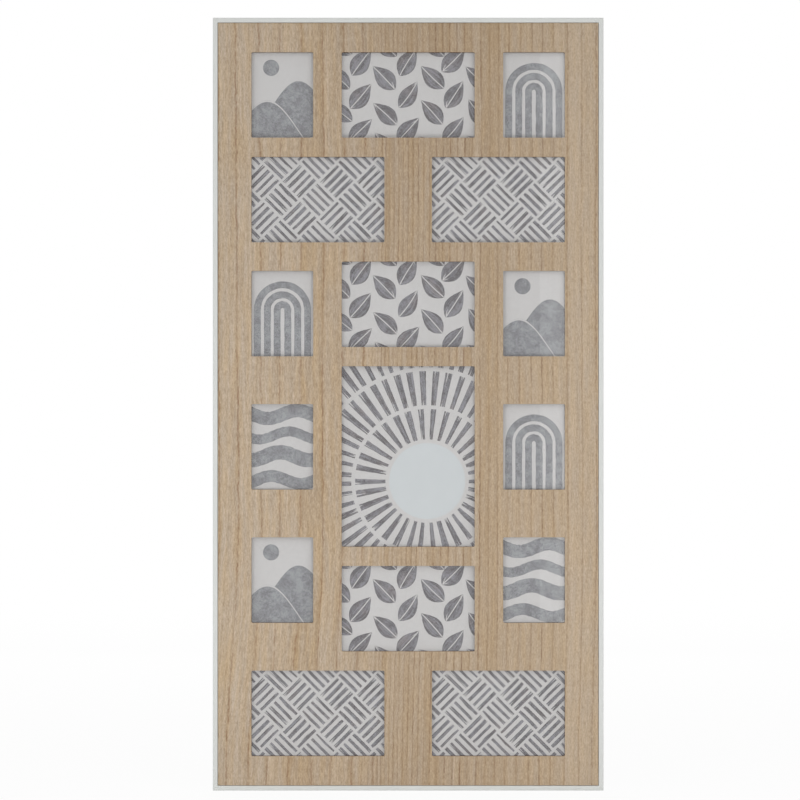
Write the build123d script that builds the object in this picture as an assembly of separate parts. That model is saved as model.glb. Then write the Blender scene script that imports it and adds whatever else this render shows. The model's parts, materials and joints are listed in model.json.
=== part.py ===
"""Collage photo frame for sixteen pictures, in millimetres.

A white moulding of four mitred rails holds a wood-veneered front panel. Sixteen openings are
cut through the panel, and a rebate behind each one holds a glass pane and a picture. A filler
sheet and a backboard close the back, twelve turn buttons hold them in, and two ring hangers
carry the frame on the wall. The front faces -Y and +Z is up. The origin is at the middle of
the underside. Depths are measured from the front plane towards the wall.
"""

from build123d import *
from math import asin, atan2, degrees, sqrt
import os

# Pictures, width by height
small_photo_width = 75.0
small_photo_height = 100.0
landscape_photo_width = 150.0
landscape_photo_height = 100.0
large_photo_width = 150.0
large_photo_height = 200.0

# Layout of the openings on the front panel
lip_cover = 5.0  # how far the lip of an opening covers each edge of its picture
side_margin = 35.5
end_margin = 31.0
column_gap = 30.0
row_gap = 20.2
side_first_gap = 30.0  # below the upper pair of landscapes, in the side columns
side_count = 3  # small openings in each side column between the two pairs of landscapes
opening_corner_radius = 1.5

# White moulding
rim_width = 5.0
frame_depth = 20.0
rim_arris = 0.6
front_recess = 2.0  # the panel lies this far behind the front edge of the rim
ledge_width = 14.0
ledge_chamfer = 1.0

# Front panel and what lies behind it
veneer_thickness = 0.5
core_thickness = 5.5
panel_gap = 0.3
pane_thickness = 1.8
print_thickness = 0.3
print_slack = 0.1
pocket_clearance = 0.5
filler_thickness = 3.0
backboard_thickness = 3.0
backboard_gap = 0.75
thumb_notch_radius = 11.0

# Turn buttons
button_thickness = 1.0
button_span = 15.0  # from the pivot to the centre of the clipped tip
button_pivot_radius = 5.0
button_tip_radius = 3.8  # to the corners of the tip
button_bend_from_pivot = 13.0
button_tip_rise = 1.3
button_lift = 0.2  # clearance under a button, so that it turns freely
button_bore_clearance = 0.08
button_screw_shank_radius = 1.5
button_screw_depth = 5.4  # how deep the screw goes into the ledge
button_screw_head_radius = 2.9
button_screw_head_height = 1.6
side_button_shares = (0.12, 0.38, 0.62, 0.88)
end_button_shares = (0.27, 0.73)

# Ring hangers
hanger_height_share = 0.76
ring_wire_radius = 0.9
ring_half_width = 5.4  # to the centre of the wire
ring_straight_side = 4.0
ring_corner_cut = 0.8
strap_side_clearance = 0.05
strap_sheet = 0.8
strap_length = 20.5
strap_screw_from_axis = 15.2
strap_bore_clearance = 0.1
barrel_clearance = 0.08
ring_rest_clearance = 0.15
ring_wall_gap = 0.7
hanger_screw_shank_radius = 1.6
hanger_screw_depth = 5.4
hanger_screw_head_radius = 3.1
hanger_screw_head_height = 1.9

# Screws and corner nails
screw_hole_clearance = 0.05
screw_seat_clearance = 0.1
head_crown_share = 0.45  # height of the bevelled crown as a share of the head
cross_slot_width = 0.7
cross_slot_length = 2.8
cross_slot_depth = 0.8
corner_nail_leg = 5.0
corner_nail_sheet = 0.5
corner_nail_height = 5.0
corner_nail_half_angle = 35.0
corner_nail_start = 2.0  # from the inside of the rim, along the mitre
corner_nail_pitch = 8.5

cut_overrun = 1.0

# Numbers of flats, since small round things are drawn as polygons to keep the part light
shank_sides = 8
head_sides = 12
tip_sides = 8
wire_sides = 10
bow_sides = 24

# Sizes that follow
small_opening = (small_photo_width - 2 * lip_cover, small_photo_height - 2 * lip_cover)
landscape_opening = (landscape_photo_width - 2 * lip_cover, landscape_photo_height - 2 * lip_cover)
large_opening = (large_photo_width - 2 * lip_cover, large_photo_height - 2 * lip_cover)
field_width = 2 * small_opening[0] + 2 * column_gap + landscape_opening[0]
visible_width = field_width + 2 * side_margin
row_heights = [landscape_opening[1]] * 6
row_heights[0] = max(small_opening[1], landscape_opening[1])
row_heights[3] = large_opening[1]
row_tops = [end_margin]  # measured down from the top of the visible panel
for row_height in row_heights[:-1]:
    row_tops.append(row_tops[-1] + row_height + row_gap)
visible_height = row_tops[-1] + row_heights[-1] + end_margin
frame_width = visible_width + 2 * rim_width
frame_height = visible_height + 2 * rim_width
side_first_top = row_tops[1] + row_heights[1] + side_first_gap
side_pitch = (row_tops[-1] - side_first_top) / side_count
side_tops = [side_first_top + n * side_pitch for n in range(side_count)]

panel_front = front_recess
core_front = panel_front + veneer_thickness
core_back = core_front + core_thickness
print_front = core_back - print_thickness
pane_front = print_front - print_slack - pane_thickness
filler_front = core_back
backboard_front = filler_front + filler_thickness
ledge_front = core_back
ledge_back = backboard_front + backboard_thickness
ledge_reach = rim_width + ledge_width
well_width = frame_width - 2 * ledge_reach
well_height = frame_height - 2 * ledge_reach
button_pivot_inset = rim_width + ledge_width / 2
button_underside = ledge_back + button_lift
button_screw_seat = button_underside + button_thickness + screw_seat_clearance
strap_width = 2 * (ring_half_width - ring_corner_cut - ring_wire_radius / 2 - strap_side_clearance)
strap_thickness = 2 * strap_sheet
barrel_bore_radius = ring_wire_radius + barrel_clearance
barrel_radius = barrel_bore_radius + strap_sheet
hanger_height = frame_height * hanger_height_share
ring_reach = ring_half_width + ring_wire_radius
hanger_offset = frame_width / 2 - rim_width - ring_wall_gap - ring_reach


def at_depth(depth):
    """Upright drawing plane that faces the viewer, this far behind the front plane."""
    return Plane(origin=(0, depth - frame_depth / 2, 0), x_dir=(1, 0, 0), z_dir=(0, -1, 0))


def slab(outline, front, thickness):
    """A flat piece with the given outline, its front face at depth `front`."""
    return extrude(at_depth(front + thickness) * outline, thickness)


def upright(width, height, centre_x, centre_z, radius=0.0):
    """Rectangle on an upright plane, with rounded corners if a radius is given."""
    shape = RectangleRounded(width, height, radius) if radius else Rectangle(width, height)
    return Pos(centre_x, centre_z) * shape


def windows():
    """Every opening as (name, opening size, centre x, centre z)."""
    small_x = field_width / 2 - small_opening[0] / 2
    twin_x = field_width / 2 - landscape_opening[0] / 2
    small, landscape, large = small_opening, landscape_opening, large_opening
    placed = [
        ("row1_left", small, -small_x, row_tops[0]),
        ("row1_centre", landscape, 0, row_tops[0]),
        ("row1_right", small, small_x, row_tops[0]),
        ("row2_left", landscape, -twin_x, row_tops[1]),
        ("row2_right", landscape, twin_x, row_tops[1]),
        ("row3_left", small, -small_x, side_tops[0]),
        ("row3_centre", landscape, 0, row_tops[2]),
        ("row3_right", small, small_x, side_tops[0]),
        ("row4_left", small, -small_x, side_tops[1]),
        ("row4_centre", large, 0, row_tops[3]),
        ("row4_right", small, small_x, side_tops[1]),
        ("row5_left", small, -small_x, side_tops[2]),
        ("row5_centre", landscape, 0, row_tops[4]),
        ("row5_right", small, small_x, side_tops[2]),
        ("row6_left", landscape, -twin_x, row_tops[5]),
        ("row6_right", landscape, twin_x, row_tops[5]),
    ]
    panel_top = frame_height - rim_width
    return [(name, size, x, panel_top - top - size[1] / 2) for name, size, x, top in placed]


def cell_outline(size, centre_x, centre_z, growth, radius=0.0):
    """Outline around an opening, grown on every side by `growth`."""
    return upright(size[0] + 2 * growth, size[1] + 2 * growth, centre_x, centre_z, radius)


def panel_outline():
    width = visible_width - 2 * panel_gap
    height = visible_height - 2 * panel_gap
    return upright(width, height, 0, frame_height / 2)


def opening_outlines():
    return Sketch() + [cell_outline(s, x, z, 0, opening_corner_radius) for _, s, x, z in windows()]


def panel_veneer():
    """Thin wood face with its sixteen openings."""
    return slab(panel_outline() - opening_outlines(), panel_front, veneer_thickness)


def panel_core():
    """Board behind the veneer: openings right through, and a rebate behind each one."""
    growth = lip_cover + pocket_clearance
    pockets = Sketch() + [cell_outline(s, x, z, growth) for _, s, x, z in windows()]
    board = slab(panel_outline() - opening_outlines(), core_front, core_thickness)
    return board - slab(pockets, pane_front, core_back - pane_front + cut_overrun)


def pane(size, centre_x, centre_z):
    """Glass of the picture's size, laid in the rebate behind the lip."""
    return slab(cell_outline(size, centre_x, centre_z, lip_cover), pane_front, pane_thickness)


def picture(size, centre_x, centre_z):
    """Paper picture that lies against the back of its pane."""
    return slab(cell_outline(size, centre_x, centre_z, lip_cover), print_front, print_thickness)


def well_outline():
    """Outline of the sheets that drop in between the ledges."""
    width = well_width - 2 * backboard_gap
    height = well_height - 2 * backboard_gap
    return upright(width, height, 0, frame_height / 2)


def filler_sheet():
    return slab(well_outline(), filler_front, filler_thickness)


def backboard():
    """Hardboard back with a thumb notch in its lower edge."""
    notch = Pos(0, ledge_reach + backboard_gap) * Circle(thumb_notch_radius)
    return slab(well_outline() - notch, backboard_front, backboard_thickness)


def rail(length):
    """One mitred rail that runs along X, with its outer face on z = 0 and its ledge below.

    The section is a thin upright rim, and a ledge that the panel is glued on from the front.
    """
    section_plane = Plane(
        origin=(-length / 2, -frame_depth / 2, 0), x_dir=(0, 0, -1), z_dir=(1, 0, 0)
    )
    rim = Pos(rim_width / 2, frame_depth / 2) * Rectangle(rim_width, frame_depth)
    rim = chamfer(rim.vertices(), rim_arris)
    ledge = Polyline(
        (rim_width / 2, ledge_front),
        (ledge_reach, ledge_front),
        (ledge_reach, ledge_back - ledge_chamfer),
        (ledge_reach - ledge_chamfer, ledge_back),
        (rim_width / 2, ledge_back),
        close=True,
    )
    bar = extrude(section_plane * (rim + make_face(ledge)), length)
    mitre = Polyline(
        (-length / 2, 0),
        (length / 2, 0),
        (length / 2 - ledge_reach, -ledge_reach),
        (-length / 2 + ledge_reach, -ledge_reach),
        close=True,
    )
    return bar & slab(make_face(mitre), 0, frame_depth)


def rails():
    """The four rails in their places, by name."""
    half = frame_width / 2
    return {
        "rail_top": Pos(0, 0, frame_height) * rail(frame_width),
        "rail_bottom": Rot(0, 180, 0) * rail(frame_width),
        "rail_left": Pos(-half, 0, frame_height / 2) * Rot(0, -90, 0) * rail(frame_height),
        "rail_right": Pos(half, 0, frame_height / 2) * Rot(0, 90, 0) * rail(frame_height),
    }


def corner_nail(along_mitre):
    """V-shaped nail at this distance from the outer corner, measured along the mitre.

    It is drawn at the origin for a mitre that runs along +X, and driven in from the back.
    """
    leg = Pos(corner_nail_leg / 2, 0) * Rectangle(corner_nail_leg, corner_nail_sheet)
    vee = Rot(0, 0, corner_nail_half_angle) * leg + Rot(0, 0, -corner_nail_half_angle) * leg
    return slab(Pos(along_mitre, 0) * vee, ledge_back - corner_nail_height, corner_nail_height)


def corner_nails():
    """Two nails across each of the four mitres."""
    first = rim_width * sqrt(2) + corner_nail_start
    pair = [corner_nail(first), corner_nail(first + corner_nail_pitch)]
    nails = []
    for side in (-1, 1):
        for end, height in ((-1, 0), (1, frame_height)):
            # The mitre runs from the outer corner towards the middle of the frame.
            heading = degrees(atan2(end, -side))
            corner = Pos(side * frame_width / 2, 0, height) * Rot(0, heading, 0)
            nails += [corner * nail for nail in pair]
    return nails


def bore(shank_radius, clearance):
    """Outline of a hole in which a shank of this radius has this clearance all round."""
    return RegularPolygon(shank_radius + clearance, shank_sides, major_radius=False)


def screw(seat, depth, shank_radius, head_radius, head_height):
    """Pan-head screw on the Y axis. Its head rests at depth `seat` and faces the wall."""
    tip = ledge_back - depth
    shank = slab(RegularPolygon(shank_radius, shank_sides), tip, seat - tip)
    head = slab(RegularPolygon(head_radius, head_sides), seat, head_height)
    back_face = head.faces().sort_by(Axis.Y)[-1]
    head = chamfer(back_face.edges(), head_height * head_crown_share)
    bar = Rectangle(cross_slot_length, cross_slot_width)
    cross = bar + Rot(0, 0, 90) * bar
    slot_bottom = seat + head_height - cross_slot_depth
    return shank + head - slab(cross, slot_bottom, cross_slot_depth + cut_overrun)


def screw_hole(depth, shank_radius):
    """Pilot hole for a screw on the Y axis, a little wider and deeper than its shank."""
    length = depth + screw_hole_clearance
    outline = bore(shank_radius, screw_hole_clearance)
    return slab(outline, ledge_back - length, length + cut_overrun)


def turn_button():
    """Pressed steel turn button, pivot on the Y axis and arm along +X, tip bent outwards."""
    tip_rotation = 180 / tip_sides
    tip_outline = Pos(button_span, 0) * RegularPolygon(
        button_tip_radius, tip_sides, rotation=tip_rotation
    )
    plan = make_hull((Circle(button_pivot_radius) + tip_outline).edges())
    hole = bore(button_screw_shank_radius, button_bore_clearance)
    height = button_thickness + button_tip_rise
    blank = slab(plan - hole, button_underside, height)
    tip = button_span + button_tip_radius
    start = button_underside - frame_depth / 2
    side = Polyline(
        (-button_pivot_radius, start),
        (button_bend_from_pivot, start),
        (tip, start + button_tip_rise),
        (tip, start + height),
        (button_bend_from_pivot, start + button_thickness),
        (-button_pivot_radius, start + button_thickness),
        close=True,
    )
    width = 2 * button_pivot_radius
    return blank & Pos(0, 0, -width / 2) * extrude(make_face(side), width)


def button_places():
    """Name, pivot x, pivot z and turn about Y of every turn button. Its arm points inwards."""
    side_x = frame_width / 2 - button_pivot_inset
    places = []
    for n, share in enumerate(reversed(side_button_shares), 1):
        places.append((f"turn_button_left_{n}", -side_x, frame_height * share, 0))
        places.append((f"turn_button_right_{n}", side_x, frame_height * share, 180))
    for n, share in enumerate(end_button_shares, 1):
        x = frame_width * (share - 0.5)
        places.append((f"turn_button_top_{n}", x, frame_height - button_pivot_inset, 90))
        places.append((f"turn_button_bottom_{n}", x, button_pivot_inset, -90))
    return places


def hanger_strap():
    """Strip folded round the ring's straight bar, with one screw hole.

    Drawn with the bar's axis on x = 0, z = 0 and the strap hanging down the ledge.
    """
    foot = ledge_back - frame_depth / 2
    side_plane = Plane(origin=(-strap_width / 2, foot, 0), x_dir=(0, 1, 0), z_dir=(1, 0, 0))
    fold = Pos(barrel_radius, 0) * Circle(barrel_radius)
    tongue = Pos(strap_thickness / 2, -strap_length / 2) * Rectangle(strap_thickness, strap_length)
    barrel_bore = Pos(barrel_radius, 0) * Circle(barrel_bore_radius)
    folded = extrude(side_plane * (fold + tongue - barrel_bore), strap_width)
    rounding = strap_width / 2
    plan = Pos(0, (barrel_radius - strap_length + rounding) / 2) * Rectangle(
        strap_width, strap_length - rounding + barrel_radius
    )
    plan += Pos(0, rounding - strap_length) * Circle(rounding)
    plan -= Pos(0, -strap_screw_from_axis) * bore(hanger_screw_shank_radius, strap_bore_clearance)
    return folded & slab(plan, ledge_back, 2 * barrel_radius)


def ring_lean():
    """Angle in degrees by which an upright ring leans in, almost onto the ledge."""
    drop = barrel_radius - ring_wire_radius - ring_rest_clearance
    return degrees(asin(drop / (ring_straight_side + ring_half_width)))


def ring_travel():
    """Angle in degrees from the ring's rest down to where it would touch its own strap."""
    needed = strap_thickness + ring_rest_clearance + ring_wire_radius - barrel_radius
    crossing = ring_straight_side + sqrt(ring_half_width**2 - (strap_width / 2) ** 2)
    return 180 + ring_lean() - degrees(asin(needed / crossing))


def hanger_ring():
    """D-shaped wire ring, its straight bar in the strap's fold, turned up as on a hook."""
    half, side = ring_half_width, ring_straight_side
    foot = Pos(0, side / 2) * Rectangle(2 * half, side)
    foot = chamfer(foot.vertices().group_by(Axis.Y)[0], ring_corner_cut)
    bow = Pos(0, side) * RegularPolygon(half, bow_sides)
    bow &= Pos(0, side + half) * Rectangle(2 * half, 2 * half)
    upright_plane = Plane(origin=(0, 0, 0), x_dir=(1, 0, 0), z_dir=(0, -1, 0))
    path = (upright_plane * (foot + bow)).face().outer_wire()
    section = Plane(origin=path @ 0, z_dir=path % 0) * RegularPolygon(ring_wire_radius, wire_sides)
    ring = sweep(section, path=path, transition=Transition.RIGHT)
    axis_depth = ledge_back + barrel_radius - frame_depth / 2
    return Pos(0, axis_depth, 0) * Rot(ring_lean(), 0, 0) * ring


def build():
    """Every node by name, each as a list of separate solids."""
    nodes = {"panel_veneer": [panel_veneer()], "panel_core": [panel_core()]}
    for name, size, x, z in windows():
        nodes[f"pane_{name}"] = [pane(size, x, z)]
        nodes[f"print_{name}"] = [picture(size, x, z)]
    nodes["filler_sheet"] = [filler_sheet()]
    nodes["backboard"] = [backboard()]

    button = turn_button()
    button_screw = screw(
        button_screw_seat,
        button_screw_depth,
        button_screw_shank_radius,
        button_screw_head_radius,
        button_screw_head_height,
    )
    button_hole = screw_hole(button_screw_depth, button_screw_shank_radius)
    holes = []
    nodes["turn_button_screws"] = []
    for name, x, z, turn in button_places():
        nodes[name] = [Pos(x, 0, z) * Rot(0, turn, 0) * button]
        nodes["turn_button_screws"].append(Pos(x, 0, z) * button_screw)
        holes.append(Pos(x, 0, z) * button_hole)

    strap, ring = hanger_strap(), hanger_ring()
    hanger_screw = screw(
        ledge_back + strap_thickness,
        hanger_screw_depth,
        hanger_screw_shank_radius,
        hanger_screw_head_radius,
        hanger_screw_head_height,
    )
    hanger_hole = screw_hole(hanger_screw_depth, hanger_screw_shank_radius)
    nodes["hanger_screws"] = []
    for side, x in (("left", -hanger_offset), ("right", hanger_offset)):
        place = Pos(x, 0, hanger_height)
        screw_place = Pos(x, 0, hanger_height - strap_screw_from_axis)
        nodes[f"hanger_strap_{side}"] = [place * strap]
        nodes[f"hanger_ring_{side}"] = [place * ring]
        nodes["hanger_screws"].append(screw_place * hanger_screw)
        holes.append(screw_place * hanger_hole)

    nodes["corner_nails"] = corner_nails()
    for name, body in rails().items():
        nodes[name] = [body - holes - nodes["corner_nails"]]
    return nodes


if __name__ == "__main__":
    os.makedirs("parts", exist_ok=True)
    for node, solids in build().items():
        shape = solids[0] if len(solids) == 1 else Compound(children=solids)
        export_step(shape, f"parts/{node}.step")
    print("frame", frame_width, "x", frame_height, "x", frame_depth)
    print("ring lean and travel in degrees", round(ring_lean(), 2), round(ring_travel(), 2))
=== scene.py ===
"""Looks of the collage photo frame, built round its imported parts, in metres.

The front faces -Y and +Z is up. The sections follow the frame as it is put together, from the
moulding to the hardware on its back, and the studio comes last.
"""
import json

import bpy
import numpy as np
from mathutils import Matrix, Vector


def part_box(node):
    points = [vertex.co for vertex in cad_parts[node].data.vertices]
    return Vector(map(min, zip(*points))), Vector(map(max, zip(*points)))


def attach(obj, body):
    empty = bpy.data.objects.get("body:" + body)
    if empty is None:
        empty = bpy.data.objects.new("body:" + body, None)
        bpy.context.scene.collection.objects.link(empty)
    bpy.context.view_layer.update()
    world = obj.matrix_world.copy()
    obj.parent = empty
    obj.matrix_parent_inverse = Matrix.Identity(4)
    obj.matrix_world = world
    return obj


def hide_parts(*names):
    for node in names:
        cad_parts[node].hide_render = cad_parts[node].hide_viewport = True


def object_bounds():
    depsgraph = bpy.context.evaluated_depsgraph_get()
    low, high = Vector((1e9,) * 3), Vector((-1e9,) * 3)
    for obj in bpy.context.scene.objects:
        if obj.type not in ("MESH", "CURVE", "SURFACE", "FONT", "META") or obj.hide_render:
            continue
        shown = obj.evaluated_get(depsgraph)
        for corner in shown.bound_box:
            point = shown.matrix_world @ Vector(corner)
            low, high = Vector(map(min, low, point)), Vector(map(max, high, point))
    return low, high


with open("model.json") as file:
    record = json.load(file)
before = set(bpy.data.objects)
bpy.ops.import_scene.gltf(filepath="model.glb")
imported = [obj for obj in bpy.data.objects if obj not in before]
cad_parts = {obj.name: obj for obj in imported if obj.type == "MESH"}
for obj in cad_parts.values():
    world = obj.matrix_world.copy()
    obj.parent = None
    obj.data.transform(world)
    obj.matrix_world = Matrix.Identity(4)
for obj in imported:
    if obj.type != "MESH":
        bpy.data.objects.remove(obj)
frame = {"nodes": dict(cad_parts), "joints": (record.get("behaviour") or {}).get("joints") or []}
nodes = frame["nodes"]
cad_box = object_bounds()

# White moulding
# Four lengths of a thin L-section milled from fibreboard and lacquered in satin white. They are
# mitred, glued and nailed at the corners, and a machine has eased their long edges.
mm = 0.001
frame_width, frame_height = (cad_box[1][axis] - cad_box[0][axis] for axis in (0, 2))
rim_width, half_depth = 5 * mm, 10 * mm
ledge_reach, ledge_front, ledge_back, ledge_chamfer = 19 * mm, -2 * mm, 4 * mm, 1 * mm
long_edge_radius, small_edge_radius = 0.6 * mm, 0.15 * mm


def feed(tree, node, inputs):
    """Set inputs of a shader node, each to a number, a colour or another node's socket."""
    for name, value in inputs.items():
        if isinstance(value, bpy.types.NodeSocket):
            tree.links.new(value, node.inputs[name])
        else:
            node.inputs[name].default_value = value
    return node


def add(tree, kind, inputs=None, **settings):
    """A new shader node with its settings and its inputs."""
    made = tree.nodes.new("ShaderNode" + kind)
    for name, value in settings.items():
        setattr(made, name, value)
    return feed(tree, made, inputs or {})


def math(tree, operation, first, second=0.0, third=0.0):
    """Result of one Math node."""
    values = {0: first, 1: second, 2: third}
    return add(tree, "Math", values, operation=operation).outputs[0]


def rescaled(tree, value, low, high, to_low=0.0, to_high=1.0, smooth=False):
    """Value brought from the range low..high to another range, and held inside it."""
    kind = "SMOOTHSTEP" if smooth else "LINEAR"
    inputs = {0: value, 1: low, 2: high, 3: to_low, 4: to_high}
    return add(tree, "MapRange", inputs, interpolation_type=kind).outputs[0]


def mixed(tree, share, first, second, blend="MIX"):
    """Two colours mixed by a share from 0 to 1."""
    inputs = {0: share, 6: first, 7: second}
    return add(tree, "Mix", inputs, data_type="RGBA", blend_type=blend).outputs[2]


def bumped(tree, height, strength, distance):
    """Normal of a surface that is raised by a height times a distance."""
    inputs = {"Height": height, "Strength": strength, "Distance": distance}
    return add(tree, "Bump", inputs).outputs["Normal"]


def srgb(red, green, blue):
    """Colour of 0 to 255 as linear light: ((c + 0.055) / 1.055) to the power of 2.4."""
    c = np.array([red, green, blue]) / 255
    return (*(((c + 0.055) / 1.055) ** 2.4).tolist(), 1.0)


def new_material(name):
    """A material with its node tree and its Principled shader."""
    material = bpy.data.materials.new(name)
    material.use_nodes = True
    return material, material.node_tree, material.node_tree.nodes["Principled BSDF"]


def new_group(name, inputs):
    """A node group that turns a Vector and number inputs, given with their values, into Value."""
    tree = bpy.data.node_groups.new(name, "ShaderNodeTree")
    tree.interface.new_socket("Vector", in_out="INPUT", socket_type="NodeSocketVector")
    for label, value in inputs.items():
        socket = tree.interface.new_socket(label, in_out="INPUT", socket_type="NodeSocketFloat")
        socket.default_value = value
    tree.interface.new_socket("Value", in_out="OUTPUT", socket_type="NodeSocketFloat")
    return tree, tree.nodes.new("NodeGroupInput").outputs, tree.nodes.new("NodeGroupOutput").inputs


def placed(tree, group, vector, values):
    """The Value of a node group that is placed in a material with its own inputs."""
    made = tree.nodes.new("ShaderNodeGroup")
    made.node_tree = group
    return feed(tree, made, {"Vector": vector, **values}).outputs["Value"]


# The streaks group stretches noise. Across is its count per metre on X and Y, and Along on Z.
streaks, given, result = new_group(
    "streaks", {"Across": 500.0, "Along": 20.0, "Detail": 2.0, "Shift": 0.0}
)
scale = add(streaks, "CombineXYZ", {0: given["Across"], 1: given["Across"], 2: given["Along"]})
stretched = add(
    streaks, "VectorMath", {0: given["Vector"], 1: scale.outputs[0]}, operation="MULTIPLY"
)
moved = add(streaks, "VectorMath", {0: stretched.outputs[0], 1: given["Shift"]}, operation="ADD")
noise = add(streaks, "TexNoise", {"Vector": moved.outputs[0], "Scale": 1.0, "Detail": given["Detail"]})
streaks.links.new(noise.outputs["Fac"], result["Value"])

lacquer, tree, shader = new_material("satin_white_lacquer")
place = add(tree, "TexCoord").outputs["Object"]
cloud = placed(tree, streaks, place, {"Across": 45.0, "Along": 45.0, "Detail": 3.0})
peel = placed(tree, streaks, place, {"Across": 380.0, "Along": 380.0, "Detail": 1.0})
colour = mixed(tree, rescaled(tree, cloud, 0.3, 0.7), srgb(210, 212, 209), srgb(212, 214, 211))
feed(tree, shader, {
    "Base Color": colour,
    "Roughness": rescaled(tree, cloud, 0.3, 0.7, 0.34, 0.44),
    "Normal": bumped(tree, peel, 0.05, 0.03 * mm),
})


def rounded(corners, radii, steps):
    """Closed line through corners that are rounded by arcs.

    The arc at a corner P runs from A to B, both at radius / tan(half the corner's angle) from P.
    It is ((1-s)^2 A + 2 s (1-s) w P + s^2 B) / ((1-s)^2 + 2 s (1-s) w + s^2), where w is the sine
    of half that angle, and that is an exact circle.
    """
    corners, radii = np.array(corners, float), np.array(radii, float)[:, None]
    back = np.roll(corners, 1, 0) - corners
    ahead = np.roll(corners, -1, 0) - corners
    back /= np.linalg.norm(back, axis=1, keepdims=True)
    ahead /= np.linalg.norm(ahead, axis=1, keepdims=True)
    half = np.arccos(np.clip((back * ahead).sum(1, keepdims=True), -1, 1)) / 2
    start, end = corners + back * radii / np.tan(half), corners + ahead * radii / np.tan(half)
    s = np.linspace(0, 1, steps)[None, :, None]
    weight = np.sin(half)[:, None]
    parts = [(1 - s) ** 2, 2 * s * (1 - s) * weight, s**2]
    points = sum(p * q[:, None] for p, q in zip(parts, (start, corners, end)))
    return (points / sum(parts)).reshape(-1, 2)


def band_faces(rows, columns, closed_rows=False):
    """Quads of a grid whose columns close on themselves, and its rows too if asked."""
    row, column = np.meshgrid(
        np.arange(rows if closed_rows else rows - 1), np.arange(columns), indexing="ij"
    )
    next_row, next_column = (row + 1) % rows, (column + 1) % columns
    corners = [
        row * columns + column,
        row * columns + next_column,
        next_row * columns + next_column,
        next_row * columns + column,
    ]
    return np.stack(corners, -1).reshape(-1, 4).tolist()


def tube(sections):
    """Points and faces of a closed solid: a row of sections, each a closed line, with flat ends."""
    rows, columns = sections.shape[:2]
    ends = [list(range(columns)), list(range((rows - 1) * columns, rows * columns))[::-1]]
    return sections.reshape(-1, 3), [*band_faces(rows, columns), *ends]


def piece(name, points, faces, material, body, replaced, smooth_below=35):
    """A new piece on its body, in place of CAD nodes, with its faces turned outwards.

    The signed volume is the sum over all faces of (a x b) . c / 6 for a fan of triangles a, b, c.
    Edges between faces that meet at less than smooth_below degrees are shaded smooth.
    """
    fans = [(f[0], f[k], f[k + 1]) for f in faces for k in range(1, len(f) - 1)]
    a, b, c = (points[list(corner)] for corner in zip(*fans))
    if (np.cross(a, b) * c).sum() < 0:
        faces = [f[::-1] for f in faces]
    mesh = bpy.data.meshes.new(name)
    mesh.from_pydata(points.tolist(), [], faces)
    mesh.polygons.foreach_set("use_smooth", [True] * len(mesh.polygons))
    mesh.set_sharp_from_angle(angle=np.radians(smooth_below))
    mesh.materials.append(material)
    made = bpy.data.objects.new(name, mesh)
    bpy.context.scene.collection.objects.link(made)
    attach(made, body)
    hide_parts(*replaced)
    return made


moulding_section = rounded(
    [
        (0, -half_depth),
        (rim_width, -half_depth),
        (rim_width, ledge_front),
        (ledge_reach, ledge_front),
        (ledge_reach, ledge_back - ledge_chamfer),
        (ledge_reach - ledge_chamfer, ledge_back),
        (rim_width, ledge_back),
        (rim_width, half_depth),
        (0, half_depth),
    ],
    [long_edge_radius] * 2 + [small_edge_radius] * 5 + [long_edge_radius] * 2,
    steps=6,
)


def mitred_rail(half_length, outer, along, outwards):
    """The moulding's section carried along one side of the frame, between the two mitres.

    `outer` is how far the side's outer face lies from the frame's middle. A point of the section
    at a distance a inside that face runs to half_length - a on both ends.
    """
    inset, depth = moulding_section.T
    sections = []
    for end in (-1, 1):
        run, out = end * (half_length - inset), outer - inset
        sections.append(np.stack(
            [along[0] * run + outwards[0] * out, depth, along[1] * run + outwards[1] * out], -1
        ))
    return tube(np.array(sections) + [0, 0, frame_height / 2])


for side, half_length, outer, along, outwards in (
    ("top", frame_width / 2, frame_height / 2, (1, 0), (0, 1)),
    ("bottom", frame_width / 2, frame_height / 2, (1, 0), (0, -1)),
    ("left", frame_height / 2, frame_width / 2, (0, 1), (-1, 0)),
    ("right", frame_height / 2, frame_width / 2, (0, 1), (1, 0)),
):
    points, faces = mitred_rail(half_length, outer, along, outwards)
    piece(f"moulding_{side}", points, faces, lacquer, "frame", [f"rail_{side}"])

# Panel board
# A sheet of medium-density fibreboard, raw at the back and at the cut edges. Each opening goes
# right through it, and a router has cut a rebate behind each one for the glass and the print.
fibreboard, tree, shader = new_material("raw_fibreboard")
place = add(tree, "TexCoord").outputs["Object"]
fluff = placed(tree, streaks, place, {"Across": 1500.0, "Along": 900.0, "Detail": 3.0})
blotch = placed(tree, streaks, place, {"Across": 60.0, "Along": 60.0})
colour = mixed(tree, rescaled(tree, fluff, 0.3, 0.7), srgb(112, 84, 58), srgb(150, 120, 88))
colour = mixed(tree, rescaled(tree, blotch, 0.4, 0.8, 0.0, 0.25), colour, srgb(120, 92, 66))
normal = bumped(tree, fluff, 0.5, 0.08 * mm)
feed(tree, shader, {"Base Color": colour, "Roughness": 0.85, "Normal": normal})
nodes["panel_core"].material_slots[0].material = fibreboard

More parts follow.
